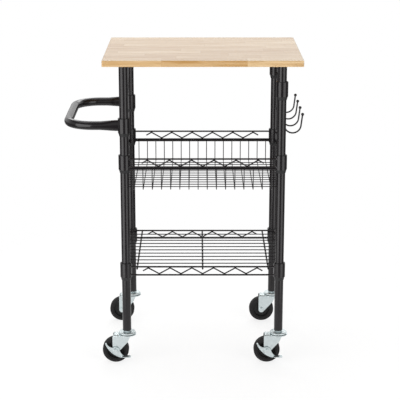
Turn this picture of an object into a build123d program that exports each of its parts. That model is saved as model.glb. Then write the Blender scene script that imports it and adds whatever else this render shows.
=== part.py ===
"""Kitchen island cart: a wooden worktop on four tube posts, with a wire basket, a wire shelf,
a side handle, a rail of hooks and four swivel casters. Millimetres, +Z up, floor at Z = 0."""

import math
import os

from build123d import *

os.makedirs("parts", exist_ok=True)

# Worktop board
worktop_length = 565.0
worktop_depth = 436.0
worktop_thickness = 18.0
worktop_height = 914.0
worktop_corner = 3.0
worktop_arris = 2.0

# Posts
post_spacing_x = 450.0
post_spacing_y = 350.0
post_diameter = 25.4
post_wall = 1.2

# Clearances
seat_gap = 0.05
running_gap = 0.05
end_play = 0.1
weld_bite = 0.3

# Fixings inside the post ends
top_plug_length = 20.0
stud_diameter = 8.0
stud_reach = 11.0
insert_wall = 2.2
insert_length = 12.0
foot_socket_length = 26.0

# Collars welded to each wire frame, and the split sleeves that wedge them on the posts
collar_height = 42.0
collar_wall = 2.0
collar_above_rim = 10.0
sleeve_wall_top = 1.9
sleeve_wall_low = 2.4
sleeve_proud = 1.0
sleeve_skirt = 10.0
sleeve_lip = 1.0
sleeve_slit = 0.8
bead_height = 1.6
bead_depth = 0.4

# Wire gauges
rim_wire = 5.0
zigzag_wire = 4.0
ring_wire = 5.0
basket_wire = 2.6
deck_wire = 3.2
strut_wire = 5.0
hook_wire = 4.5

# Trusses: two rim wires with a zigzag between them
rim_offset = 8.0
rim_drop = 25.0
zigzag_pitch = 63.7
zigzag_bend = 4.5

# Level of the shelf's rim wires, and the drops from the worktop to what hangs under it
shelf_rim_z = 299.0
basket_below_top = 290.0
handle_below_top = 193.5
rail_below_top = 77.0

# Basket
basket_depth = 94.0
basket_taper = 4.0
basket_foot_bend = 10.0
basket_pitch = 26.5
foot_lap = 0.5

# Lower shelf deck
deck_pitch = 32.6
strut_inset = 33.0
strut_overhang = 1.5

# Handle
handle_tube = 25.4
handle_wall = 1.5
handle_reach = 164.0
handle_bend = 75.0

# Squeezed ends of the handle: how far out from the post, with the tube's height and depth there
handle_squeeze = [
    (70.0, handle_tube, handle_tube),
    (48.0, 28.4, 21.8),
    (32.0, 30.8, 17.2),
    (11.0, 31.6, 15.0),
]

# Hook rail
rail_offset = 5.0
hook_pitch = 96.5
hook_rise = 3.0
hook_bend = 24.0
hook_drop = 120.0
hook_tip_height = 54.5
hook_lean = 7.0
hook_ball = 9.0

# Casters
wheel_diameter = 78.0
wheel_width = 25.0
tyre_depth = 9.5
tyre_shoulder = 5.0
core_rim = 3.5
core_rim_width = 21.0
core_web = 6.0
hub_diameter = 20.0
hub_width = 27.0
bush_diameter = 12.0
axle_diameter = 8.0
axle_head_flats = 13.0
axle_head = 5.0
axle_nut = 6.5
axle_tail = 2.0
caster_trail = 34.0
fork_sheet = 2.2
fork_side_room = 2.0
fork_top_room = 7.8
fork_crown_radius = 27.0
fork_bend = 6.5
fork_shoulder = 8.0
fork_end_radius = 9.0
fork_nose = 12.0
knee_forward = 36.5
knee_rise = 27.0
kingpin_diameter = 10.0
kingpin_head_diameter = 14.0
kingpin_head = 4.0
ball_diameter = 5.0
ball_count = 16
ball_circle = 34.0
cap_diameter = 50.0
cap_sheet = 2.0
cap_skirt = 3.0
cap_edge = 1.5
stem_flats = 17.0
stem_neck = 4.0
stem_length = 24.0

# Side brake lever, in the wheel's face plane and measured from the axle
cam_diameter = 18.0
cam_thickness = 2.2
lever_sheet = 1.8
lever_flange = 3.5
lever_tip_low = (-31.0, 24.5)
lever_belly = (-12.0, -4.5)
lever_heel_low = (16.6, -20.3)
lever_heel_high = (25.5, -14.3)
lever_heel_waist = (15.6, -5.0)
lever_boss_radius = 12.5
lever_boss_start = 10.0
lever_boss_sweep = 108.0
lever_tip_waist = (-17.5, 14.0)
lever_tip_high = (-27.0, 26.0)
pedal_start = 20.0
pedal_end = 46.0
pedal_level = -14.3
pedal_width = 15.0
pedal_corner = 4.0

# Radii and levels that follow from the sizes above
post_radius = post_diameter / 2
bore_radius = post_radius - post_wall
plug_radius = bore_radius - seat_gap
sleeve_radius = post_radius + seat_gap
collar_bore_top = sleeve_radius + sleeve_wall_top + seat_gap
collar_bore_low = sleeve_radius + sleeve_wall_low + seat_gap
collar_radius = collar_bore_low + collar_wall
clear_x = post_spacing_x - 2 * collar_radius
clear_y = post_spacing_y - 2 * collar_radius
worktop_underside = worktop_height - worktop_thickness
rail_rim_z = worktop_height - rail_below_top
handle_z = worktop_height - handle_below_top
basket_rim_z = worktop_height - basket_below_top
basket_floor_z = basket_rim_z - basket_depth
leg_in = wheel_width / 2 + fork_side_room
leg_out = leg_in + fork_sheet
axle_z = wheel_diameter / 2
crown_low_z = wheel_diameter + fork_top_room
crown_top_z = crown_low_z + fork_sheet
kingpin_low_z = crown_low_z - end_play - kingpin_head
cap_top_z = crown_top_z + ball_diameter + end_play + cap_sheet
post_foot_z = cap_top_z + stem_neck
shelf_collar_z = shelf_rim_z + collar_above_rim - collar_height
basket_collar_z = basket_rim_z + collar_above_rim - collar_height
rail_collar_z = rail_rim_z + collar_above_rim - collar_height
handle_collar_z = handle_z - collar_height / 2

# Hook outline, measured out from the line between the two right posts
hook_stem = rail_offset + rim_wire / 2 + hook_wire / 2 + seat_gap
hook_low_z = rail_rim_z - rim_drop - hook_drop
hook_centre_z = hook_low_z + hook_bend
lean = math.radians(hook_lean)
hook_leg_start = (
    hook_stem + hook_bend * (1 + math.cos(lean)),
    hook_centre_z - hook_bend * math.sin(lean),
)
hook_tip_z = hook_low_z + hook_tip_height
hook_tip = hook_leg_start[0] + (hook_tip_z - hook_leg_start[1]) * math.tan(lean)

# The part's origin lies under the middle of its overall box, so the posts stand off centre
handle_outreach = handle_reach + handle_tube / 2
hook_outreach = hook_tip + hook_ball / 2
posts_mid_x = (handle_outreach - hook_outreach) / 2
left_x = posts_mid_x - post_spacing_x / 2
right_x = posts_mid_x + post_spacing_x / 2
front_y = -post_spacing_y / 2
rear_y = post_spacing_y / 2
corners = {
    "front_left": (left_x, front_y),
    "front_right": (right_x, front_y),
    "rear_left": (left_x, rear_y),
    "rear_right": (right_x, rear_y),
}
left_posts = [corners["front_left"], corners["rear_left"]]
right_posts = [corners["front_right"], corners["rear_right"]]
all_posts = list(corners.values())


def save(piece, name):
    """Label a finished piece and write it out under the same name."""
    piece.part.label = name
    export_step(piece.part, f"parts/{name}.step")


def upright(x, y, z=0.0):
    """A sketch plane seen from the front, its axes along +X and +Z."""
    return Plane(origin=(x, y, z), x_dir=(1, 0, 0), z_dir=(0, -1, 0))


def across(x, y, z=0.0):
    """A sketch plane seen from the right, its axes along +Y and +Z."""
    return Plane(origin=(x, y, z), x_dir=(0, 1, 0), z_dir=(1, 0, 0))


def row(span, pitch):
    """Places at a pitch, as many as fit in a span, centred on zero."""
    gaps = int(span / pitch)
    return [(index - gaps / 2) * pitch for index in range(gaps + 1)]


# Worktop: one edge-glued board, with a blind hole over each post
with BuildPart() as wood_top:
    with BuildSketch(Plane((posts_mid_x, 0, worktop_underside))):
        RectangleRounded(worktop_length, worktop_depth, worktop_corner)
    extrude(amount=worktop_thickness)
    fillet(wood_top.faces().sort_by(Axis.Z)[-1].edges(), worktop_arris)
    fillet(wood_top.faces().sort_by(Axis.Z)[0].edges(), worktop_arris)
    insert_radius = stud_diameter / 2 + insert_wall
    with BuildSketch(Plane.XY.offset(worktop_underside)):
        with Locations(*all_posts):
            Circle(insert_radius + seat_gap)
    extrude(amount=insert_length + seat_gap, mode=Mode.SUBTRACT)
save(wood_top, "wood_top")

# Threaded inserts in the board's blind holes
with BuildPart() as top_inserts:
    with BuildSketch(Plane.XY.offset(worktop_underside)):
        with Locations(*all_posts):
            Circle(insert_radius)
            Circle(stud_diameter / 2 + seat_gap, mode=Mode.SUBTRACT)
    extrude(amount=insert_length)
save(top_inserts, "top_inserts")

# Plugs pressed into the tops of the posts, each with its stud
with BuildPart() as post_top_plugs:
    with BuildSketch(Plane.XY.offset(worktop_underside - top_plug_length)):
        with Locations(*all_posts):
            Circle(plug_radius)
    extrude(amount=top_plug_length)
    with BuildSketch(Plane.XY.offset(worktop_underside)):
        with Locations(*all_posts):
            Circle(stud_diameter / 2)
    extrude(amount=stud_reach)
save(post_top_plugs, "post_top_plugs")

# Tube posts, each with a rolled groove behind every sleeve that it carries
for name, (x, y) in corners.items():
    side_collar_z = handle_collar_z if x == left_x else rail_collar_z
    with BuildPart() as post:
        with BuildSketch(upright(x, y)):
            with Locations((bore_radius, post_foot_z)):
                Rectangle(post_wall, worktop_underside - post_foot_z, align=Align.MIN)
            for collar_z in (shelf_collar_z, basket_collar_z, side_collar_z):
                with Locations((post_radius, collar_z + collar_height / 2)):
                    Rectangle(
                        2 * (bead_depth + seat_gap),
                        bead_height + 2 * seat_gap,
                        mode=Mode.SUBTRACT,
                    )
        revolve(axis=Axis((x, y, 0), (0, 0, 1)))
    save(post, f"post_{name}")

# Threaded sockets pressed into the feet of the posts, for the caster stems
with BuildPart() as post_foot_sockets:
    with BuildSketch(Plane.XY.offset(post_foot_z)):
        with Locations(*all_posts):
            Circle(plug_radius)
            Circle(kingpin_diameter / 2 + seat_gap, mode=Mode.SUBTRACT)
    extrude(amount=foot_socket_length)
save(post_foot_sockets, "post_foot_sockets")


def collars(name, posts, collar_z):
    """Short tubes with a tapered bore, one round each post."""
    with BuildPart() as piece:
        for x, y in posts:
            with BuildSketch(upright(x, y, collar_z)):
                with BuildLine():
                    Polyline(
                        (collar_bore_low, 0),
                        (collar_radius, 0),
                        (collar_radius, collar_height),
                        (collar_bore_top, collar_height),
                        close=True,
                    )
                make_face()
            revolve(axis=Axis((x, y, 0), (0, 0, 1)))
    save(piece, name)


def sleeves(name, posts, collar_z):
    """Tapered sleeves in two halves, each with a bead inside that snaps into the post's groove."""
    top = collar_height + sleeve_proud
    with BuildPart() as piece:
        for x, y in posts:
            with BuildSketch(upright(x, y, collar_z)):
                with BuildLine():
                    Polyline(
                        (sleeve_radius, -sleeve_skirt),
                        (sleeve_radius + sleeve_lip, -sleeve_skirt),
                        (collar_radius - sleeve_lip, -seat_gap),
                        (sleeve_radius + sleeve_wall_low, -seat_gap),
                        (sleeve_radius + sleeve_wall_low, 0),
                        (sleeve_radius + sleeve_wall_top, collar_height),
                        (sleeve_radius + sleeve_wall_top, top),
                        (sleeve_radius, top),
                        close=True,
                    )
                make_face()
                with Locations((sleeve_radius, collar_height / 2)):
                    Rectangle(2 * (bead_depth + seat_gap), bead_height)
            revolve(axis=Axis((x, y, 0), (0, 0, 1)))
            with Locations((x, y, collar_z)):
                Box(2 * collar_radius, sleeve_slit, 2 * (top + sleeve_skirt), mode=Mode.SUBTRACT)
    save(piece, name)


def truss(name, posts, outward, rim_z):
    """Two rim wires from collar to collar, with a zigzag wire welded between them."""
    (ax, ay), (bx, by) = posts
    along = Vector(bx - ax, by - ay, 0)
    span = along.length
    mid_z = rim_z - rim_drop / 2
    middle = Vector((ax + bx) / 2, (ay + by) / 2, mid_z) + outward * rim_offset
    face = Plane(origin=middle, x_dir=along, z_dir=along.cross(Vector(0, 0, 1)))
    half_pitch = zigzag_pitch / 2
    peaks = int((span - 2 * collar_radius) / zigzag_pitch)
    swing = rim_drop - rim_wire - zigzag_wire + 2 * weld_bite
    straight_rise = swing - 2 * zigzag_bend
    slope = math.atan2(straight_rise, half_pitch)
    slope += math.asin(2 * zigzag_bend / math.hypot(half_pitch, straight_rise))
    rise = half_pitch * math.tan(slope) / 2
    first = -(peaks - 1) * half_pitch
    bends = [(first + index * half_pitch, rise * (-1) ** index) for index in range(2 * peaks - 1)]
    end_x = -first + half_pitch / 2
    with BuildPart() as piece:
        with BuildSketch(Plane(face.from_local_coords((-span / 2, 0, 0)), x_dir=face.y_dir, z_dir=along)):
            with Locations((rim_drop / 2, 0), (-rim_drop / 2, 0)):
                Circle(rim_wire / 2)
        extrude(amount=span)
        with BuildLine(face) as zigzag:
            FilletPolyline((-end_x, 0), *bends, (end_x, 0), radius=zigzag_bend)
        zigzag_path = zigzag.wires()[0]
        with BuildSketch(Plane(zigzag_path @ 0, z_dir=zigzag_path % 0)):
            Circle(zigzag_wire / 2)
        sweep()
        with Locations((ax, ay, mid_z), (bx, by, mid_z)):
            Cylinder(collar_radius, 2 * collar_height, mode=Mode.SUBTRACT)
    save(piece, name)


# Each side of the frames, with its two posts and the way that it faces
truss_sides = {
    "front": ([corners["front_left"], corners["front_right"]], Vector(0, -1, 0)),
    "rear": ([corners["rear_left"], corners["rear_right"]], Vector(0, 1, 0)),
    "left": (left_posts, Vector(-1, 0, 0)),
    "right": (right_posts, Vector(1, 0, 0)),
}

# Basket frame and lower shelf frame: collars, sleeves and four trusses each
for frame, rim_z, collar_z in (
    ("basket", basket_rim_z, basket_collar_z),
    ("shelf", shelf_rim_z, shelf_collar_z),
):
    collars(f"{frame}_collars", all_posts, collar_z)
    sleeves(f"{frame}_sleeves", all_posts, collar_z)
    for side, (posts, outward) in truss_sides.items():
        truss(f"{frame}_truss_{side}", posts, outward, rim_z)

# Basket: a second wire under each truss, with bent wires hung from it for the walls
ring_half_x = post_spacing_x / 2 + rim_offset
ring_half_y = post_spacing_y / 2 + rim_offset
ring_z = basket_rim_z - rim_drop - rim_wire / 2 - ring_wire / 2 - seat_gap
wall_inset = ring_wire / 2 + basket_wire / 2 - weld_bite
cross_z = basket_floor_z + basket_wire - weld_bite


def wall_profile(ring_out, floor_z):
    """Corner points of a wall wire, out from the basket's middle: its top, its foot and its floor end."""
    top = (ring_out - wall_inset, ring_z + ring_wire / 4)
    foot = (top[0] - basket_taper, floor_z)
    turn = math.pi / 2 - math.atan2(basket_taper, top[1] - floor_z)
    return top, foot, (foot[0] - basket_foot_bend * math.tan(turn / 2) - foot_lap, floor_z)


deep_profile = wall_profile(ring_half_y, basket_floor_z)
long_profile = wall_profile(ring_half_x, cross_z)
floor_half_y = deep_profile[-1][0]
floor_half_x = long_profile[-1][0]


def basket_wall(name, posts, outward, profile, places):
    """The second wire under one truss, with the wall wires that hang from it."""
    (ax, ay), (bx, by) = posts
    along = Vector(bx - ax, by - ay, 0)
    ring_start = Vector(ax, ay, ring_z) + outward * rim_offset
    middle = Vector(posts_mid_x, 0, 0)
    with BuildPart() as piece:
        with BuildSketch(Plane(ring_start, z_dir=along)):
            Circle(ring_wire / 2)
        extrude(amount=along.length)
        with Locations((ax, ay, ring_z), (bx, by, ring_z)):
            Cylinder(collar_radius, collar_height, mode=Mode.SUBTRACT)
        with BuildLine(Plane(middle, x_dir=outward, z_dir=outward.cross(Vector(0, 0, 1)))) as drop:
            FilletPolyline(*profile, radius=basket_foot_bend)
        drop_path = drop.wires()[0]
        with BuildSketch(Plane(drop_path @ 0, x_dir=along, z_dir=drop_path % 0)):
            with Locations(*[(place, 0) for place in places]):
                Circle(basket_wire / 2)
        sweep()
    save(piece, name)


deep_places = row(clear_x, basket_pitch)
long_places = row(clear_y, basket_pitch)
for side, (posts, outward) in truss_sides.items():
    if outward.X:
        basket_wall(f"basket_wall_{side}", posts, outward, long_profile, long_places)
    else:
        basket_wall(f"basket_wall_{side}", posts, outward, deep_profile, deep_places)

# Basket floor: the long wires cross over the deep ones
with BuildPart() as basket_floor:
    with BuildSketch(upright(posts_mid_x, floor_half_y, basket_floor_z)):
        with Locations(*[(place, 0) for place in deep_places]):
            Circle(basket_wire / 2)
    extrude(amount=2 * floor_half_y)
    with BuildSketch(across(posts_mid_x - floor_half_x, 0, cross_z)):
        with Locations(*[(place, 0) for place in long_places]):
            Circle(basket_wire / 2)
    extrude(amount=2 * floor_half_x)
save(basket_floor, "basket_floor")

# Lower shelf deck: long wires between the side rims, on three struts that pass under the other two
deck_half_x = post_spacing_x / 2 + rim_offset - rim_wire / 2
strut_half_y = post_spacing_y / 2 + rim_offset + rim_wire / 2 + strut_overhang
strut_half_x = post_spacing_x / 2 - strut_inset
strut_z = shelf_rim_z - rim_wire / 2 - strut_wire / 2 - seat_gap
deck_z = strut_z + strut_wire / 2 + deck_wire / 2 - weld_bite
with BuildPart() as shelf_deck:
    with BuildSketch(across(posts_mid_x - deck_half_x, 0, deck_z)):
        with Locations(*[(place, 0) for place in row(clear_y, deck_pitch)]):
            Circle(deck_wire / 2)
    extrude(amount=2 * deck_half_x)
    with BuildSketch(upright(posts_mid_x, strut_half_y, strut_z)):
        with Locations((-strut_half_x, 0), (0, 0), (strut_half_x, 0)):
            Circle(strut_wire / 2)
    extrude(amount=2 * strut_half_y)
save(shelf_deck, "shelf_deck")

# Handle: a bent tube between the two left posts, its ends squeezed flat against their collars
collars("handle_collars", left_posts, handle_collar_z)
sleeves("handle_sleeves", left_posts, handle_collar_z)
squeeze_start = handle_squeeze[0][0]
with BuildPart() as handle:
    for x, y in left_posts:
        for wall, mode in ((0, Mode.ADD), (handle_wall, Mode.SUBTRACT)):
            for out, height, depth in handle_squeeze:
                with BuildSketch(across(x - out, y, handle_z)):
                    Ellipse(depth / 2 - wall, height / 2 - wall)
            loft(mode=mode)
    with BuildLine() as bow:
        FilletPolyline(
            (left_x - squeeze_start, front_y, handle_z),
            (left_x - handle_reach, front_y, handle_z),
            (left_x - handle_reach, rear_y, handle_z),
            (left_x - squeeze_start, rear_y, handle_z),
            radius=handle_bend,
        )
    bow_path = bow.wires()[0]
    with BuildSketch(Plane(bow_path @ 0, z_dir=bow_path % 0)):
        Circle(handle_tube / 2)
        Circle(handle_tube / 2 - handle_wall, mode=Mode.SUBTRACT)
    sweep()
    with Locations(*[(x, y, handle_z) for x, y in left_posts]):
        Cylinder(collar_radius, collar_height, mode=Mode.SUBTRACT)
save(handle, "handle_tube")

# Hook rail: two wires between the right posts, with hooks welded to their outer side
collars("hook_rail_collars", right_posts, rail_collar_z)
sleeves("hook_rail_sleeves", right_posts, rail_collar_z)
with BuildPart() as hook_rail:
    with BuildSketch(upright(right_x + rail_offset, rear_y, rail_rim_z)):
        with Locations((0, 0), (0, -rim_drop)):
            Circle(rim_wire / 2)
    extrude(amount=post_spacing_y)
    with Locations(*[(x, y, rail_rim_z) for x, y in right_posts]):
        Cylinder(collar_radius, 2 * collar_height, mode=Mode.SUBTRACT)
save(hook_rail, "hook_rail")

with BuildPart() as hooks:
    for y in row(clear_y, hook_pitch):
        with BuildLine(upright(right_x, y)):
            Line((hook_stem, rail_rim_z + hook_rise), (hook_stem, hook_centre_z))
            CenterArc((hook_stem + hook_bend, hook_centre_z), hook_bend, 180, 180 - hook_lean)
            Line(hook_leg_start, (hook_tip, hook_tip_z))
        with BuildSketch(Plane((right_x + hook_stem, y, rail_rim_z + hook_rise), z_dir=(0, 0, -1))):
            Circle(hook_wire / 2)
        sweep()
        with Locations((right_x + hook_tip, y, hook_tip_z)):
            Sphere(hook_ball / 2)
save(hooks, "hooks")

# Caster stems: a rivet head under the fork, the kingpin, a hexagon neck and a threaded stem
with BuildPart() as caster_stems:
    for x, y in all_posts:
        with BuildSketch(Plane((x, y, kingpin_low_z))):
            Circle(kingpin_head_diameter / 2)
        extrude(amount=kingpin_head)
        with BuildSketch(Plane((x, y, kingpin_low_z))):
            Circle(kingpin_diameter / 2)
        extrude(amount=post_foot_z + stem_length - kingpin_low_z)
        with BuildSketch(Plane((x, y, cap_top_z))):
            RegularPolygon(stem_flats / 2, 6, major_radius=False)
        extrude(amount=stem_neck)
save(caster_stems, "caster_stems")

# Swivel caps: shallow dishes clamped under the stems, over the balls
with BuildPart() as caster_caps:
    for x, y in all_posts:
        with BuildSketch(upright(x, y, cap_top_z)):
            with BuildLine():
                Polyline(
                    (kingpin_diameter / 2 + seat_gap, 0),
                    (cap_diameter / 2 - cap_edge, 0),
                    (cap_diameter / 2, -cap_edge),
                    (cap_diameter / 2, -cap_sheet - cap_skirt),
                    (cap_diameter / 2 - cap_sheet, -cap_sheet - cap_skirt),
                    (cap_diameter / 2 - cap_sheet, -cap_sheet),
                    (kingpin_diameter / 2 + seat_gap, -cap_sheet),
                    close=True,
                )
            make_face()
        revolve(axis=Axis((x, y, 0), (0, 0, 1)))
save(caster_caps, "caster_caps")


def fork(name, x, y):
    """A pressed sheet fork: a crown round the kingpin and two legs that trail back to the axle."""
    axle_x = x - caster_trail
    knee = Vector(axle_x + knee_forward, axle_z + knee_rise)
    to_knee = knee - Vector(axle_x, axle_z)
    tangent = math.atan2(to_knee.Y, to_knee.X) - math.acos(fork_end_radius / to_knee.length)
    heel = (axle_x + fork_end_radius * math.cos(tangent), axle_z + fork_end_radius * math.sin(tangent))
    low = (axle_x, axle_z - fork_end_radius)
    back_x = axle_x - fork_end_radius
    shoulder_start = (back_x + fork_shoulder, crown_top_z)
    shoulder_end = (back_x, crown_top_z - fork_shoulder)
    with BuildPart() as piece:
        with BuildSketch(across(back_x, y, crown_top_z)):
            with Locations((0, -crown_top_z / 2)):
                RectangleRounded(2 * leg_out, crown_top_z, fork_bend)
            with Locations((0, -fork_sheet - crown_top_z / 2)):
                RectangleRounded(2 * leg_in, crown_top_z, fork_bend - fork_sheet, mode=Mode.SUBTRACT)
        extrude(amount=x + fork_nose - back_x)
        with BuildSketch(upright(0, y)):
            with BuildLine():
                ThreePointArc((back_x, axle_z), low, heel)
                Polyline(heel, (knee.X, knee.Y), (x + fork_nose, crown_top_z), shoulder_start)
                TangentArc(shoulder_start, shoulder_end, tangent=(-1, 0))
                Line(shoulder_end, (back_x, axle_z))
            make_face()
            with Locations((axle_x, axle_z)):
                Circle(axle_diameter / 2 + seat_gap, mode=Mode.SUBTRACT)
        extrude(amount=leg_out, both=True, mode=Mode.INTERSECT)
        with BuildSketch(Plane((x, y, crown_low_z))):
            Circle(fork_crown_radius)
        extrude(amount=fork_sheet)
        with Locations((x, y, crown_low_z)):
            Cylinder(kingpin_diameter / 2 + running_gap, 2 * wheel_diameter, mode=Mode.SUBTRACT)
    save(piece, f"fork_{name}")


def swivel_balls(name, x, y):
    """The ring of balls between the fork's crown and its cap."""
    with BuildPart() as piece:
        with Locations((x, y, crown_top_z + ball_diameter / 2)):
            with PolarLocations(ball_circle / 2, ball_count):
                Sphere(ball_diameter / 2)
    save(piece, f"swivel_balls_{name}")


def axle(name, x, y, stack):
    """The axle bolt with its nut, and the bush that spans the fork's legs for the wheel to turn on."""
    axle_x = x - caster_trail
    head_y = y - leg_out - stack
    nut_y = y + leg_out + axle_nut
    with BuildPart() as piece:
        with BuildSketch(upright(axle_x, nut_y + axle_tail, axle_z)):
            Circle(axle_diameter / 2)
        extrude(amount=nut_y + axle_tail - head_y)
        with BuildSketch(upright(axle_x, head_y, axle_z)):
            RegularPolygon(axle_head_flats / 2, 6, major_radius=False)
        extrude(amount=axle_head)
        with BuildSketch(upright(axle_x, nut_y, axle_z)):
            RegularPolygon(axle_head_flats / 2, 6, major_radius=False)
            Circle(axle_diameter / 2 + seat_gap, mode=Mode.SUBTRACT)
        extrude(amount=axle_nut)
        with BuildSketch(upright(axle_x, y + leg_in, axle_z)):
            Circle(bush_diameter / 2)
            Circle(axle_diameter / 2 + seat_gap, mode=Mode.SUBTRACT)
        extrude(amount=2 * leg_in)
    save(piece, f"axle_{name}")


def wheel(name, x, y):
    """A moulded core that runs on the bush, and the tyre round it."""
    axle_x = x - caster_trail
    spin = Axis((axle_x, y, axle_z), (0, 1, 0))
    bore = bush_diameter / 2 + running_gap
    rim_radius = wheel_diameter / 2 - tyre_depth
    rim_middle = rim_radius - core_rim / 2
    with BuildPart() as core:
        with BuildSketch(across(axle_x, y, axle_z)):
            with Locations((0, (bore + hub_diameter / 2) / 2)):
                Rectangle(hub_width, hub_diameter / 2 - bore)
            with Locations((0, (bore + rim_middle) / 2)):
                Rectangle(core_web, rim_middle - bore)
            with Locations((0, rim_middle)):
                Rectangle(core_rim_width, core_rim)
        revolve(axis=spin)
    save(core, f"wheel_core_{name}")
    with BuildPart() as tyre:
        with BuildSketch(across(axle_x, y, axle_z)) as tread:
            with Locations((0, rim_radius)):
                Rectangle(wheel_width, tyre_depth, align=(Align.CENTER, Align.MIN))
            fillet(tread.vertices().group_by(Axis.Y)[-1], tyre_shoulder)
        revolve(axis=spin)
    save(tyre, f"tyre_{name}")


def brake(name, x, y):
    """A cam washer on the fork's outer leg, and the rocking lever that turns on the axle beside it."""
    axle_x = x - caster_trail
    lever_y = y - leg_out - cam_thickness - end_play
    lever_face = upright(axle_x, lever_y, axle_z)
    with BuildPart() as cam:
        with BuildSketch(upright(axle_x, y - leg_out, axle_z)):
            Circle(cam_diameter / 2)
            Circle(axle_diameter / 2 + seat_gap, mode=Mode.SUBTRACT)
        extrude(amount=cam_thickness)
    save(cam, f"brake_cam_{name}")
    with BuildPart() as lever:
        with BuildSketch(lever_face) as blank:
            with BuildLine():
                boss = CenterArc((0, 0), lever_boss_radius, lever_boss_start, lever_boss_sweep)
                ThreePointArc(boss @ 1, lever_tip_waist, lever_tip_high)
                Line(lever_tip_high, lever_tip_low)
                ThreePointArc(lever_tip_low, lever_belly, lever_heel_low)
                Line(lever_heel_low, lever_heel_high)
                ThreePointArc(lever_heel_high, lever_heel_waist, boss @ 0)
            make_face()
        extrude(amount=lever_sheet)
        with BuildSketch(lever_face):
            add(blank.sketch_local)
            offset(blank.sketch_local, amount=-lever_sheet, mode=Mode.SUBTRACT)
        extrude(amount=lever_flange)
        with BuildSketch(Plane.XY.offset(axle_z + pedal_level - lever_sheet / 2)) as pedal:
            with Locations((axle_x + pedal_start, lever_y)):
                Rectangle(
                    pedal_end - pedal_start,
                    lever_sheet + pedal_width,
                    align=(Align.MIN, Align.MAX),
                )
            fillet(pedal.vertices().group_by(Axis.Y)[0], pedal_corner)
        extrude(amount=lever_sheet)
        with BuildSketch(lever_face):
            Circle(axle_diameter / 2 + running_gap)
        extrude(amount=lever_sheet, mode=Mode.SUBTRACT)
    save(lever, f"brake_lever_{name}")


# Casters: all four trail towards the handle, and the front two have brakes
brake_stack = cam_thickness + lever_sheet + 2 * end_play
for name, (x, y) in corners.items():
    braked = y == front_y
    fork(name, x, y)
    swivel_balls(name, x, y)
    axle(name, x, y, brake_stack if braked else 0)
    wheel(name, x, y)
    if braked:
        brake(name, x, y)
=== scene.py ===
"""Looks of a kitchen island cart: an edge-glued wooden top on black tube posts, wire basket and
shelf, a side handle, a rail of hooks and zinc-plated casters. Metres, +Z up, floor at Z = 0."""

import math

import bmesh
import bpy
from bpy.props import FloatProperty, FloatVectorProperty, IntProperty, PointerProperty
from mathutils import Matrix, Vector


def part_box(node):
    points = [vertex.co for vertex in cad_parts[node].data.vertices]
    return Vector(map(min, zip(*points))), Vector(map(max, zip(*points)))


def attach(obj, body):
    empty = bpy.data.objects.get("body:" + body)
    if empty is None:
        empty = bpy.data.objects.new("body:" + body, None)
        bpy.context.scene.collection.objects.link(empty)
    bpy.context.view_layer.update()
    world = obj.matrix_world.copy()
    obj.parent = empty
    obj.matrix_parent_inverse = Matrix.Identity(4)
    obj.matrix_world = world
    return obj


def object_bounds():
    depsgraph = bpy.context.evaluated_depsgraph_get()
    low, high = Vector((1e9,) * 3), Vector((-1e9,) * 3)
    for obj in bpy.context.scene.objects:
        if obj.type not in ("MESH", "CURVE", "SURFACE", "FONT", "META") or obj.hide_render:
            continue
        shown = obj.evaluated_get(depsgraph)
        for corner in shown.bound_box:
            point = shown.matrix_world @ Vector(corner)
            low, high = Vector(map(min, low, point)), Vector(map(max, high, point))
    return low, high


bl_info = {
    "name": "Kitchen Island Cart",
    "version": (1, 0, 0),
    "blender": (4, 5, 0),
    "location": "View3D > Sidebar > Island Cart",
    "description": "Dresses the island cart's frame and sets up its studio",
    "category": "Object",
}

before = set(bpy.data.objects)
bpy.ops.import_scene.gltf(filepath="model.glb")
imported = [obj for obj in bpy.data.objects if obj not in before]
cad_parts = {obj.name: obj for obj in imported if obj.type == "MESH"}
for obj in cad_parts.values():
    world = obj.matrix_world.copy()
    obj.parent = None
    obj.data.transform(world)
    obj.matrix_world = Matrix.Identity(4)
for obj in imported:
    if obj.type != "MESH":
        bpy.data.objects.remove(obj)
cad_low, cad_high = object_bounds()
top_low, top_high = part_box("wood_top")

# Words in the names of the cart's pieces
CORNERS = ("front_left", "front_right", "rear_left", "rear_right")
BRAKED = ("front_left", "front_right")
SIDES = ("front", "rear", "left", "right")
TRUSSES = [f"{part}_truss_{side}" for part in ("basket", "shelf") for side in SIDES]
COLLARED = ("handle", "hook_rail", "basket", "shelf")

# Worktop: its strips start just before the front edge and are shifted by some stave lengths each
STRIPS = 10
STRIP_LEAD = 0.0005
STRIP_SHIFT = 7.3

# Wood colour: what a stave's own tone and its streaks add to the step from light to golden
STAVE_TONE = 0.55
STREAK_TONE = 0.6
STREAK_RANGE = (0.36, 0.64)

# Wood grain: drawn out along the staves, started elsewhere in each, with gloss and relief
GRAIN_STRETCH = (7.0, 75.0, 130.0)
GRAIN_JUMP = (40.0, 40.0, 40.0)
GRAIN_GLOSS = (0.1, 0.17)
GRAIN_RELIEF = 0.4

# Pores and glue seams: a darker tint, and how far from its line a seam is full and has faded
MARK_TINT = (0.66, 0.55, 0.42, 1)
PORE_SCALE = 7.0
PORE_RANGE = (0.62, 0.78)
PORE_DEPTH = 0.5
SEAM_FULL = 0.0002
SEAM_GONE = 0.0006
SEAM_DEPTH = 0.6

# Coats: the spread of their soft patches, and the scale of the broad pebbles to the fine ones
PATCH_RANGE = (0.33, 0.67)
BROAD_PEBBLE = 0.22

# Weld beads: rings from the wire to the collar, and the two ripples of their edge
BEAD_RINGS = 6
BEAD_INSET = 0.98
BEAD_RIPPLES = ((0.12, 3, 1.0), (0.08, 5, 2.1))

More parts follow.
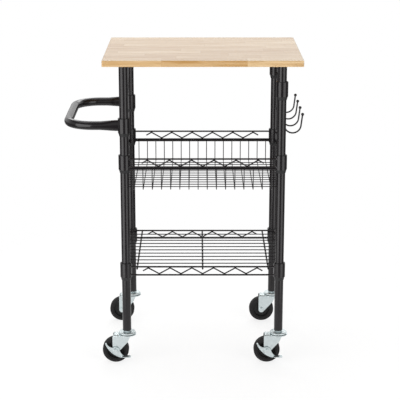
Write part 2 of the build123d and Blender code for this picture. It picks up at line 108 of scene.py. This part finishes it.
# Floor: its white, what it keeps of a shadow, and its glow where it is mirrored and where it is seen
FLOOR_WHITE = (0.9, 0.9, 0.9, 1)
FLOOR_SHADOW = (0.3, 0.3, 0.3, 1)
FLOOR_GLOW = (0.72, 0.78)
FLOOR_FADE = (0.35, 0.95)
FLOOR_DROP = 0.0006
FLOOR_SEGMENTS = 96

# Mirrored room: where the bright back begins, the band's lower and upper edges, and the levels
BACK_EDGE = (0.1, 0.6)
BAND_FOOT = (-0.12, 0.08)
BAND_HEAD = (0.7, 0.42)
FRONT_LEVEL = 0.6
DIM_LEVEL = 0.2

# Lamps: name, place, size, and the studio value that holds the power
LAMPS = (
    ("overhead_lamp", (-0.2, 0.5, 2.7), (2.6, 1.6), "overhead"),
    ("back_lamp", (0.0, 2.2, 2.1), (2.4, 1.0), "back_side"),
    ("left_lamp", (-1.62, -1.68, 0.6), (2.3, 2.4), "left_side"),
    ("right_lamp", (1.7, -1.72, 0.6), (1.9, 2.4), "right_side"),
)
SENSOR_WIDTH = 36


class CartFinishes(bpy.types.PropertyGroup):
    """Colours and grain sizes of the cart's materials."""

    wood_light: FloatVectorProperty(
        name="Light wood", description="Palest staves of the worktop",
        subtype="COLOR", size=3, min=0, max=1, default=(0.86, 0.635, 0.37),
    )
    wood_gold: FloatVectorProperty(
        name="Golden wood", description="Darkest staves of the worktop",
        subtype="COLOR", size=3, min=0, max=1, default=(0.57, 0.325, 0.115),
    )
    strip_width: FloatProperty(
        name="Strip width", description="Width of one glued strip of the worktop",
        unit="LENGTH", min=0.01, default=(top_high.y - top_low.y) / STRIPS,
    )
    stave_length: FloatProperty(
        name="Stave length", description="Usual length of the staves in a strip",
        unit="LENGTH", min=0.05, default=0.24,
    )
    paint: FloatVectorProperty(
        name="Frame paint", description="Charcoal coat on the posts, collars and wires",
        subtype="COLOR", size=3, min=0, max=1, default=(0.0085, 0.007, 0.008),
    )
    sleeve: FloatVectorProperty(
        name="Sleeve plastic", description="Moulded sleeves between the posts and collars",
        subtype="COLOR", size=3, min=0, max=1, default=(0.006, 0.006, 0.0065),
    )
    zinc: FloatVectorProperty(
        name="Zinc", description="Bright zinc plate on the casters and fixings",
        subtype="COLOR", size=3, min=0, max=1, default=(0.66, 0.725, 0.735),
    )
    rubber: FloatVectorProperty(
        name="Tyre rubber", description="Dull black of the tyres",
        subtype="COLOR", size=3, min=0, max=1, default=(0.009, 0.0084, 0.0088),
    )
    core: FloatVectorProperty(
        name="Wheel core", description="Moulded black of the wheel cores",
        subtype="COLOR", size=3, min=0, max=1, default=(0.005, 0.005, 0.0051),
    )


class CartWelds(bpy.types.PropertyGroup):
    """Sizes of the weld beads between the wires and the collars."""

    rise: FloatProperty(
        name="Bead rise", description="How far a bead climbs along its wire",
        unit="LENGTH", min=0.0005, default=0.0024,
    )
    spread: FloatProperty(
        name="Bead spread", description="How far a bead spreads over its collar, from the wire",
        unit="LENGTH", min=0.0005, default=0.0017,
    )
    segments: IntProperty(
        name="Segments", description="Steps round each bead", min=8, max=64, default=28,
    )


class CartStudio(bpy.types.PropertyGroup):
    """Camera, lamps and backdrop."""

    camera_place: FloatVectorProperty(
        name="Camera", description="Where the camera stands",
        subtype="TRANSLATION", unit="LENGTH", size=3, default=(0.0403, -3.8627, 1.526),
    )
    camera_pitch: FloatProperty(
        name="Pitch", description="How far the camera looks down",
        subtype="ANGLE", unit="ROTATION", default=math.radians(15.55),
    )
    camera_pan: FloatProperty(
        name="Pan", description="How far the camera turns to the left",
        subtype="ANGLE", unit="ROTATION", default=math.radians(-0.11),
    )
    lens: FloatProperty(
        name="Lens", description="Focal length in millimetres", min=10, default=118.9,
    )
    overhead: FloatProperty(
        name="Overhead lamp", description="Power of the wide lamp over the cart in watts",
        min=0, default=22,
    )
    back_side: FloatProperty(
        name="Back lamp", description="Power of the high lamp behind the cart in watts",
        min=0, default=24,
    )
    left_side: FloatProperty(
        name="Left lamp", description="Power of the tall lamp to the left in watts",
        min=0, default=50,
    )
    right_side: FloatProperty(
        name="Right lamp", description="Power of the tall lamp to the right in watts",
        min=0, default=30,
    )
    floor_reach: FloatProperty(
        name="Floor", description="Radius at which the floor has faded into the backdrop",
        unit="LENGTH", min=0.5, default=1.4,
    )
    fill: FloatProperty(
        name="Room light", description="Strength of the room's light on the cart",
        min=0, default=0.22,
    )


def place_node(tree, kind, x, y, values=None, **settings):
    """Add a shader node at a spot in the tree, with plain settings and values for its sockets."""
    node = tree.nodes.new(kind)
    node.location = (x, y)
    for name, value in settings.items():
        setattr(node, name, value)
    for socket, value in (values or {}).items():
        node.inputs[socket].default_value = value
    return node


def math_node(tree, operation, x, y, first, second=None):
    """Add a maths node whose inputs are sockets or numbers, and give its result."""
    node = place_node(tree, "ShaderNodeMath", x, y, operation=operation)
    for socket, value in zip(node.inputs, (first, second)):
        if isinstance(value, bpy.types.NodeSocket):
            tree.links.new(value, socket)
        elif value is not None:
            socket.default_value = value
    return node.outputs[0]


def range_node(tree, x, y, value, source=(0.0, 1.0), target=(0.0, 1.0), shape="LINEAR"):
    """Map a value from one range to another, held at both ends, and give the result."""
    limits = zip(("From Min", "From Max", "To Min", "To Max"), (*source, *target))
    node = place_node(tree, "ShaderNodeMapRange", x, y, dict(limits), interpolation_type=shape)
    tree.links.new(value, node.inputs["Value"])
    return node.outputs["Result"]


def new_group(name, inputs, outputs):
    """Make an empty shader group with named sockets, and give it with its two end nodes."""
    group = bpy.data.node_groups.new(name, "ShaderNodeTree")
    for socket, kind, default in inputs:
        made = group.interface.new_socket(socket, in_out="INPUT", socket_type=kind)
        if default is not None:
            made.default_value = default
    for socket, kind in outputs:
        group.interface.new_socket(socket, in_out="OUTPUT", socket_type=kind)
    entry = place_node(group, "NodeGroupInput", -900, 0)
    leave = place_node(group, "NodeGroupOutput", 900, 0)
    return group, entry, leave


def cloud_group():
    """Soft patches over a surface: a mask from 0 to 1 and a tinted copy of a colour."""
    group, entry, leave = new_group(
        "surface_patches",
        [
            ("Vector", "NodeSocketVector", None),
            ("Colour", "NodeSocketColor", (0.5, 0.5, 0.5, 1)),
            ("Tint", "NodeSocketColor", (0.6, 0.6, 0.6, 1)),
            ("Scale", "NodeSocketFloat", 12.0),
            ("Amount", "NodeSocketFloat", 0.5),
        ],
        [("Colour", "NodeSocketColor"), ("Mask", "NodeSocketFloat")],
    )
    link = group.links.new
    noise = place_node(group, "ShaderNodeTexNoise", -600, 0, {"Detail": 5, "Roughness": 0.6})
    link(entry.outputs["Vector"], noise.inputs["Vector"])
    link(entry.outputs["Scale"], noise.inputs["Scale"])
    mask = range_node(group, -350, 0, noise.outputs["Fac"], source=PATCH_RANGE)
    amount = math_node(group, "MULTIPLY", -100, -150, mask, entry.outputs["Amount"])
    mix = place_node(group, "ShaderNodeMix", 200, 100, data_type="RGBA")
    link(amount, mix.inputs["Factor"])
    link(entry.outputs["Colour"], mix.inputs["A"])
    link(entry.outputs["Tint"], mix.inputs["B"])
    link(mix.outputs["Result"], leave.inputs["Colour"])
    link(mask, leave.inputs["Mask"])
    return group


def pebble_group():
    """Fine pebbling of a coat or a mould: a height for a bump."""
    group, entry, leave = new_group(
        "fine_pebble",
        [
            ("Vector", "NodeSocketVector", None),
            ("Size", "NodeSocketFloat", 900.0),
            ("Coarse", "NodeSocketFloat", 0.4),
        ],
        [("Height", "NodeSocketFloat")],
    )
    link = group.links.new
    fine = place_node(group, "ShaderNodeTexNoise", -500, 150, {"Detail": 2})
    broad = place_node(group, "ShaderNodeTexNoise", -500, -150, {"Detail": 1})
    for noise in (fine, broad):
        link(entry.outputs["Vector"], noise.inputs["Vector"])
    size = entry.outputs["Size"]
    link(size, fine.inputs["Scale"])
    link(math_node(group, "MULTIPLY", -700, -200, size, BROAD_PEBBLE), broad.inputs["Scale"])
    coarse = math_node(group, "MULTIPLY", -200, -150, broad.outputs["Fac"], entry.outputs["Coarse"])
    link(math_node(group, "ADD", 100, 0, fine.outputs["Fac"], coarse), leave.inputs["Height"])
    return group


def place_group(tree, name, build, x, y, **values):
    """Place a shared group in a material with its own values; it is built at its first use."""
    group = bpy.data.node_groups.get(name) or build()
    return place_node(tree, "ShaderNodeGroup", x, y, values, node_tree=group)


def new_material(name):
    """Make a material with one Principled shader, and give it with its tree, shader and coordinates."""
    material = bpy.data.materials.new(name)
    material.use_nodes = True
    tree = material.node_tree
    place = place_node(tree, "ShaderNodeTexCoord", -1700, 0).outputs["Object"]
    return material, tree, tree.nodes["Principled BSDF"], place


def add_bump(tree, shader, height, strength, distance):
    """Feed a height into the shader's normal."""
    values = {"Strength": strength, "Distance": distance}
    bump = place_node(tree, "ShaderNodeBump", -250, -350, values)
    tree.links.new(height, bump.inputs["Height"])
    tree.links.new(bump.outputs["Normal"], shader.inputs["Normal"])


def spread_roughness(tree, shader, mask, ends):
    """Let the roughness follow a mask, between two values."""
    tree.links.new(range_node(tree, -450, -50, mask, target=ends), shader.inputs["Roughness"])


def coloured(colour, factor=1.0):
    """A colour property as the four numbers that a socket takes."""
    return (*[min(1.0, channel * factor) for channel in colour], 1.0)


def coat_material(name, colour, tint, roughness, pebble, strength,
                  patches=30.0, amount=0.5, coarse=0.4, depth=0.0004, constants=None):
    """A coat or moulding with soft patches in its colour and gloss, and a fine pebble.

    The tint multiplies the colour in the patches, and the constants go to the shader's sockets.
    """
    material, tree, shader, place = new_material(name)
    for socket, value in (constants or {}).items():
        shader.inputs[socket].default_value = value
    cloud = place_group(
        tree, "surface_patches", cloud_group, -900, 200,
        Colour=coloured(colour), Tint=coloured(colour, tint), Scale=patches, Amount=amount,
    )
    grain = place_group(
        tree, "fine_pebble", pebble_group, -900, -250, Size=pebble, Coarse=coarse,
    )
    for group in (cloud, grain):
        tree.links.new(place, group.inputs["Vector"])
    tree.links.new(cloud.outputs["Colour"], shader.inputs["Base Color"])
    spread_roughness(tree, shader, cloud.outputs["Mask"], roughness)
    add_bump(tree, shader, grain.outputs["Height"], strength, depth)
    return material


def frame_paint(finishes):
    """Charcoal black baked coat on steel, half glossy."""
    return coat_material(
        "charcoal_coat", finishes.paint, tint=1.7, roughness=(0.13, 0.2),
        pebble=700.0, strength=0.04, constants={"IOR": 1.43},
    )


def zinc_material(finishes):
    """Bright zinc plate with faint patches and rolling marks."""
    return coat_material(
        "bright_zinc", finishes.zinc, tint=0.82, roughness=(0.28, 0.46),
        pebble=1400.0, strength=0.08, coarse=0.8, depth=0.0003,
        patches=90.0, amount=0.7, constants={"Metallic": 1.0},
    )


def sleeve_material(finishes):
    """Black moulded plastic with a fine texture."""
    return coat_material(
        "moulded_sleeve", finishes.sleeve, tint=1.6, roughness=(0.42, 0.55),
        pebble=1100.0, strength=0.2,
    )


def core_material(finishes):
    """Black moulded plastic of the wheel cores, a little scuffed."""
    return coat_material(
        "moulded_core", finishes.core, tint=2.0, roughness=(0.35, 0.5),
        pebble=900.0, strength=0.15, patches=120.0, constants={"Specular IOR Level": 0.3},
    )


def rubber_material(finishes):
    """Dull black rubber with a dusty bloom."""
    return coat_material(
        "tyre_rubber_black", finishes.rubber, tint=2.2, roughness=(0.62, 0.8),
        pebble=800.0, strength=0.25, patches=150.0, constants={"Specular IOR Level": 0.28},
    )


def glue_lines(tree, rows, shifted, finishes):
    """A mask of the hairlines between strips and at the butt ends of staves."""
    masks = []
    for value, pitch, y in ((rows, finishes.strip_width, -500), (shifted, finishes.stave_length, -700)):
        part = math_node(tree, "FRACT", -400, y, value)
        rest = math_node(tree, "SUBTRACT", -250, y, 1.0, part)
        edge = math_node(tree, "MINIMUM", -100, y, part, rest)
        seam = (SEAM_FULL / pitch, SEAM_GONE / pitch)
        masks.append(range_node(tree, 50, y, edge, source=seam, target=(SEAM_DEPTH, 0.0)))
    return math_node(tree, "MAXIMUM", 250, -600, *masks)


def wood_material(finishes):
    """Edge-glued strips of pale hardwood in staggered staves, under a satin lacquer."""
    material, tree, shader, place = new_material("glued_staves")
    link = tree.links.new

    # Which strip and which stave a spot lies in, and a chance value for each stave
    split = place_node(tree, "ShaderNodeSeparateXYZ", -1500, 0)
    link(place, split.inputs[0])
    cross = math_node(tree, "SUBTRACT", -1400, -100, split.outputs["Y"], top_low.y - STRIP_LEAD)
    rows = math_node(tree, "DIVIDE", -1300, -100, cross, finishes.strip_width)
    row = math_node(tree, "FLOOR", -1150, -100, rows)
    row_chance = place_node(tree, "ShaderNodeTexWhiteNoise", -1000, -100, noise_dimensions="1D")
    link(row, row_chance.inputs["W"])
    spans = math_node(tree, "DIVIDE", -1300, 150, split.outputs["X"], finishes.stave_length)
    shift = math_node(tree, "MULTIPLY", -1000, 50, row_chance.outputs["Value"], STRIP_SHIFT)
    shifted = math_node(tree, "ADD", -850, 100, spans, shift)
    stave = math_node(tree, "FLOOR", -700, 100, shifted)
    key = place_node(tree, "ShaderNodeCombineXYZ", -550, 0)
    link(row, key.inputs["X"])
    link(stave, key.inputs["Y"])
    stave_chance = place_node(tree, "ShaderNodeTexWhiteNoise", -400, 0, noise_dimensions="2D")
    link(key.outputs[0], stave_chance.inputs["Vector"])

    # Grain drawn out along the staves, which starts elsewhere in each of them
    stretch = place_node(
        tree, "ShaderNodeVectorMath", -550, 350, {1: GRAIN_STRETCH}, operation="MULTIPLY")
    link(place, stretch.inputs[0])
    jump = place_node(
        tree, "ShaderNodeVectorMath", -250, 200, {1: GRAIN_JUMP}, operation="MULTIPLY_ADD")
    link(stave_chance.outputs["Color"], jump.inputs[0])
    link(stretch.outputs[0], jump.inputs[2])
    grain = place_node(
        tree, "ShaderNodeTexNoise", -50, 300, {"Scale": 1.0, "Detail": 6, "Distortion": 0.5})
    pores = place_node(tree, "ShaderNodeTexNoise", -50, 0, {"Scale": PORE_SCALE, "Detail": 1})
    for noise in (grain, pores):
        link(jump.outputs[0], noise.inputs["Vector"])

    # Colour between light and gold, darkened in pores and seams
    streaks = range_node(tree, 100, 300, grain.outputs["Fac"], source=STREAK_RANGE)
    tone = math_node(
        tree, "ADD", 250, 150,
        math_node(tree, "MULTIPLY", 100, 100, stave_chance.outputs["Value"], STAVE_TONE),
        math_node(tree, "MULTIPLY", 200, 300, streaks, STREAK_TONE),
    )
    ends = {"A": coloured(finishes.wood_light), "B": coloured(finishes.wood_gold)}
    colour = place_node(tree, "ShaderNodeMix", 500, 150, ends, data_type="RGBA")
    link(tone, colour.inputs["Factor"])
    specks = range_node(
        tree, 300, -50, pores.outputs["Fac"], source=PORE_RANGE, target=(0.0, PORE_DEPTH))
    seams = glue_lines(tree, rows, shifted, finishes)
    marks = math_node(tree, "MAXIMUM", 500, -100, specks, seams)
    dark = place_node(
        tree, "ShaderNodeMix", 700, 150, {"B": MARK_TINT}, data_type="RGBA", blend_type="MULTIPLY")
    link(marks, dark.inputs["Factor"])
    link(colour.outputs["Result"], dark.inputs["A"])
    link(dark.outputs["Result"], shader.inputs["Base Color"])

    # Gloss and relief
    spread_roughness(tree, shader, grain.outputs["Fac"], GRAIN_GLOSS)
    relief = math_node(tree, "MULTIPLY", 550, -450, grain.outputs["Fac"], GRAIN_RELIEF)
    height = math_node(tree, "SUBTRACT", 700, -300, relief, marks)
    add_bump(tree, shader, height, strength=0.12, distance=0.0003)
    return material


def one_of(name, build, finishes):
    """Give a material by name, made at its first use."""
    return bpy.data.materials.get(name) or build(finishes)


def dress(material, *nodes):
    """Give one material to some of the cart's own pieces."""
    for name in nodes:
        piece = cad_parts[name]
        piece.data.materials.clear()
        piece.data.materials.append(material)


class CART_OT_worktop(bpy.types.Operator):
    """Finish the worktop as an edge-glued board"""

    bl_idname = "island_cart.worktop"
    bl_label = "Worktop"

    def execute(self, context):
        dress(one_of("glued_staves", wood_material, context.scene.cart_finishes), "wood_top")
        return {"FINISHED"}


class CART_OT_posts(bpy.types.Operator):
    """Coat the posts and finish the fixings in their ends"""

    bl_idname = "island_cart.posts"
    bl_label = "Posts"

    def execute(self, context):
        finishes = context.scene.cart_finishes
        paint = one_of("charcoal_coat", frame_paint, finishes)
        dress(paint, *[f"post_{corner}" for corner in CORNERS])
        zinc = one_of("bright_zinc", zinc_material, finishes)
        dress(zinc, "top_inserts", "post_top_plugs", "post_foot_sockets")
        return {"FINISHED"}


class CART_OT_wires(bpy.types.Operator):
    """Coat the wire basket, the wire shelf and the hook rail"""

    bl_idname = "island_cart.wires"
    bl_label = "Wire frames"

    def execute(self, context):
        paint = one_of("charcoal_coat", frame_paint, context.scene.cart_finishes)
        dress(paint, *TRUSSES, *[f"basket_wall_{side}" for side in SIDES])
        dress(paint, "basket_floor", "shelf_deck", "hook_rail", "hooks")
        return {"FINISHED"}


class CART_OT_collars(bpy.types.Operator):
    """Coat the collars and the handle, and finish the sleeves under them"""

    bl_idname = "island_cart.collars"
    bl_label = "Collars, sleeves and handle"

    def execute(self, context):
        finishes = context.scene.cart_finishes
        paint = one_of("charcoal_coat", frame_paint, finishes)
        dress(paint, "handle_tube", *[f"{part}_collars" for part in COLLARED])
        plastic = one_of("moulded_sleeve", sleeve_material, finishes)
        dress(plastic, *[f"{part}_sleeves" for part in COLLARED])
        return {"FINISHED"}


class CART_OT_casters(bpy.types.Operator):
    """Finish the casters, their wheels and their brakes"""

    bl_idname = "island_cart.casters"
    bl_label = "Casters"

    def execute(self, context):
        finishes = context.scene.cart_finishes
        zinc = one_of("bright_zinc", zinc_material, finishes)
        dress(zinc, "caster_stems", "caster_caps")
        for corner in CORNERS:
            dress(zinc, f"fork_{corner}", f"swivel_balls_{corner}", f"axle_{corner}")
            dress(one_of("moulded_core", core_material, finishes), f"wheel_core_{corner}")
            dress(one_of("tyre_rubber_black", rubber_material, finishes), f"tyre_{corner}")
        for corner in BRAKED:
            dress(zinc, f"brake_cam_{corner}", f"brake_lever_{corner}")
        return {"FINISHED"}


def weld_ends():
    """Each end of a rim or rail wire on a collar: the post, whether the wire runs along X, which
    way it leaves, its offset from the post, its level, its radius and the collar's radius."""
    posts = {}
    for corner in CORNERS:
        low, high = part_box(f"post_{corner}")
        posts[corner] = (low + high) / 2
    low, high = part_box("basket_collars")
    collar = (high.x - low.x - (posts["front_right"].x - posts["front_left"].x)) / 2
    ends = {
        "front": ("front_left", "front_right"), "rear": ("rear_left", "rear_right"),
        "left": ("front_left", "rear_left"), "right": ("front_right", "rear_right"),
    }
    for name in (*TRUSSES, "hook_rail"):
        low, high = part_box(name)
        side = name.rsplit("_", 1)[1] if name in TRUSSES else "right"
        wide = side in ("front", "rear")
        radius = min(high.y - low.y, high.x - low.x) / 2
        line = (low + high) / 2
        for corner, way in zip(ends[side], (1, -1)):
            post = posts[corner]
            offset = line.y - post.y if wide else line.x - post.x
            for level in (low.z + radius, high.z - radius):
                yield post, wide, way, offset, level, radius, collar


class CART_OT_welds(bpy.types.Operator):
    """Lay a weld bead where each rim wire and rail wire meets a collar"""

    bl_idname = "island_cart.welds"
    bl_label = "Weld beads"

    def execute(self, context):
        sizes = context.scene.cart_welds
        mesh = bmesh.new()
        for number, (post, wide, way, offset, level, radius, collar) in enumerate(weld_ends()):
            rows = []
            for ring in range(BEAD_RINGS):
                turn = math.pi / 2 * ring / (BEAD_RINGS - 1)
                row = []
                for step in range(sizes.segments):
                    angle = math.tau * step / sizes.segments
                    swell = 1
                    for size, waves, phase in BEAD_RIPPLES:
                        swell += size * math.sin(waves * angle + phase * number)
                    out = radius * BEAD_INSET + sizes.spread * swell * (1 - math.cos(turn))
                    side = offset + out * math.cos(angle)
                    run = math.sqrt(collar ** 2 - side ** 2) + sizes.rise * swell * (1 - math.sin(turn))
                    x, y = (way * run, side) if wide else (side, way * run)
                    spot = (post.x + x, post.y + y, level + out * math.sin(angle))
                    row.append(mesh.verts.new(spot))
                rows.append(row)
            for near, far in zip(rows, rows[1:]):
                for corners in zip(near, near[1:] + near[:1], far[1:] + far[:1], far):
                    mesh.faces.new(corners)
        bmesh.ops.recalc_face_normals(mesh, faces=mesh.faces)
        for face in mesh.faces:
            face.smooth = True
        data = bpy.data.meshes.new("frame_welds")
        mesh.to_mesh(data)
        mesh.free()
        welds = bpy.data.objects.new("frame_welds", data)
        context.scene.collection.objects.link(welds)
        data.materials.append(one_of("charcoal_coat", frame_paint, context.scene.cart_finishes))
        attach(welds, "frame")
        return {"FINISHED"}


def floor_material(reach):
    """White studio floor that keeps the cart's soft shadow and fades into the backdrop."""
    material = bpy.data.materials.new("studio_floor")
    material.use_nodes = True
    tree = material.node_tree
    tree.nodes.clear()
    link = tree.links.new
    path = place_node(tree, "ShaderNodeLightPath", -900, 300)
    camera_ray = path.outputs["Is Camera Ray"]
    seen = math_node(tree, "MAXIMUM", -600, 300, camera_ray, path.outputs["Is Glossy Ray"])
    matte = place_node(tree, "ShaderNodeBsdfDiffuse", -400, 150, {"Color": FLOOR_WHITE})
    shadow = place_node(tree, "ShaderNodeBsdfDiffuse", -600, 0, {"Color": FLOOR_SHADOW})
    glow = place_node(tree, "ShaderNodeEmission", -600, -150)
    link(range_node(tree, -800, -150, camera_ray, target=FLOOR_GLOW), glow.inputs["Strength"])
    pale = place_node(tree, "ShaderNodeAddShader", -400, -50)
    link(shadow.outputs[0], pale.inputs[0])
    link(glow.outputs[0], pale.inputs[1])
    near = place_node(tree, "ShaderNodeMixShader", -200, 50)
    link(seen, near.inputs[0])
    link(matte.outputs[0], near.inputs[1])
    link(pale.outputs[0], near.inputs[2])
    far = place_node(tree, "ShaderNodeVectorMath", -600, -350, operation="LENGTH")
    link(place_node(tree, "ShaderNodeTexCoord", -800, -350).outputs["Object"], far.inputs[0])
    edge = [part * reach for part in FLOOR_FADE]
    fade = range_node(tree, -400, -350, far.outputs["Value"], source=edge, shape="SMOOTHSTEP")
    mix = place_node(tree, "ShaderNodeMixShader", 0, 0)
    link(fade, mix.inputs[0])
    link(near.outputs[0], mix.inputs[1])
    link(place_node(tree, "ShaderNodeBsdfTransparent", -200, -150).outputs[0], mix.inputs[2])
    link(mix.outputs[0], place_node(tree, "ShaderNodeOutputMaterial", 200, 0).inputs["Surface"])
    return material


def add_floor(context, reach):
    """A round floor just under the wheels."""
    data = bpy.data.meshes.new("studio_floor")
    disc = bmesh.new()
    bmesh.ops.create_circle(disc, cap_ends=True, segments=FLOOR_SEGMENTS, radius=reach)
    disc.to_mesh(data)
    disc.free()
    data.materials.append(floor_material(reach))
    floor = bpy.data.objects.new("studio_floor", data)
    floor.location.z = -FLOOR_DROP
    context.scene.collection.objects.link(floor)


def add_lamp(context, name, place, aim, size, power):
    """A soft rectangular lamp that faces a point."""
    data = bpy.data.lights.new(name, "AREA")
    data.shape = "RECTANGLE"
    data.size, data.size_y = size
    data.energy = power
    lamp = bpy.data.objects.new(name, data)
    lamp.location = place
    lamp.rotation_euler = (Vector(aim) - Vector(place)).to_track_quat("-Z", "Y").to_euler()
    lamp.visible_camera = False
    context.scene.collection.objects.link(lamp)


def white_room(context, fill):
    """A world that is white where it is seen, that lights the cart evenly, and that is mirrored as
    a white band round the horizon, brightest behind the cart."""
    world = context.scene.world or bpy.data.worlds.new("studio_room")
    context.scene.world = world
    world.use_nodes = True
    tree = world.node_tree
    tree.nodes.clear()
    link = tree.links.new
    path = place_node(tree, "ShaderNodeLightPath", -900, 300)
    camera_ray = path.outputs["Is Camera Ray"]
    split = place_node(tree, "ShaderNodeSeparateXYZ", -900, 0)
    link(place_node(tree, "ShaderNodeTexCoord", -1100, 0).outputs["Generated"], split.inputs[0])
    back = range_node(
        tree, -700, 0, split.outputs["Y"], BACK_EDGE, (FRONT_LEVEL, 1.0), "SMOOTHSTEP")
    above = range_node(tree, -700, -250, split.outputs["Z"], BAND_FOOT, shape="SMOOTHSTEP")
    below = range_node(tree, -700, -500, split.outputs["Z"], BAND_HEAD, shape="SMOOTHSTEP")
    band = math_node(tree, "MULTIPLY", -500, -350, above, below)
    bright = math_node(tree, "MULTIPLY", -500, -100, back, band)
    wall = range_node(tree, -300, -100, bright, target=(DIM_LEVEL, 1.0))
    mirrored = math_node(
        tree, "MAXIMUM", -700, 300, path.outputs["Is Glossy Ray"], path.outputs["Is Transmission Ray"])
    glossy = math_node(tree, "MULTIPLY", -500, 150, mirrored, wall)
    seen = math_node(tree, "MAXIMUM", -300, 250, camera_ray, glossy)
    looked_at = math_node(tree, "MAXIMUM", -300, 100, camera_ray, mirrored)
    lighting = math_node(tree, "SUBTRACT", -200, 0, 1.0, looked_at)
    room = math_node(tree, "MULTIPLY", -100, 0, lighting, fill)
    shade = place_node(tree, "ShaderNodeBackground", 200, 0, {"Color": (1, 1, 1, 1)})
    link(math_node(tree, "ADD", 50, 100, seen, room), shade.inputs["Strength"])
    link(shade.outputs[0], place_node(tree, "ShaderNodeOutputWorld", 400, 0).inputs["Surface"])


class CART_OT_studio(bpy.types.Operator):
    """Set up the floor, the lamps, the white room and the camera"""

    bl_idname = "island_cart.studio"
    bl_label = "Studio"

    def execute(self, context):
        studio = context.scene.cart_studio
        add_floor(context, studio.floor_reach)
        middle = (cad_low + cad_high) / 2
        for name, place, size, power in LAMPS:
            add_lamp(context, name, place, middle, size, getattr(studio, power))
        white_room(context, studio.fill)
        eye = bpy.data.cameras.new("photo_camera")
        eye.lens = studio.lens
        eye.sensor_width = SENSOR_WIDTH
        camera = bpy.data.objects.new("photo_camera", eye)
        camera.location = studio.camera_place
        camera.rotation_euler = (math.pi / 2 - studio.camera_pitch, 0, studio.camera_pan)
        context.scene.collection.objects.link(camera)
        context.scene.camera = camera
        context.scene.view_settings.view_transform = "Standard"
        return {"FINISHED"}


class CART_PT_panel(bpy.types.Panel):
    """Sidebar list of the cart's steps and values"""

    bl_idname = "CART_PT_panel"
    bl_label = "Island Cart"
    bl_space_type = "VIEW_3D"
    bl_region_type = "UI"
    bl_category = "Island Cart"

    def draw(self, context):
        for step in STEPS:
            self.layout.operator(step.bl_idname)
        for group in GROUPS:
            values = getattr(context.scene, group)
            box = self.layout.box()
            for name in values.__annotations__:
                box.prop(values, name)


STEPS = (
    CART_OT_worktop, CART_OT_posts, CART_OT_wires, CART_OT_collars,
    CART_OT_welds, CART_OT_casters, CART_OT_studio,
)
GROUPS = {"cart_finishes": CartFinishes, "cart_welds": CartWelds, "cart_studio": CartStudio}


def register():
    """Register the classes and hang the values on the scene."""
    for cls in (*GROUPS.values(), *STEPS, CART_PT_panel):
        bpy.utils.register_class(cls)
    for name, cls in GROUPS.items():
        setattr(bpy.types.Scene, name, PointerProperty(type=cls))


def unregister():
    """Take the values and classes away again."""
    for name in GROUPS:
        delattr(bpy.types.Scene, name)
    for cls in (CART_PT_panel, *reversed(STEPS), *reversed(GROUPS.values())):
        bpy.utils.unregister_class(cls)


def main():
    """Dress the cart and set the stage."""
    register()
    for step in STEPS:
        group, name = step.bl_idname.split(".")
        getattr(getattr(bpy.ops, group), name)()


if __name__ == "__main__":
    main()
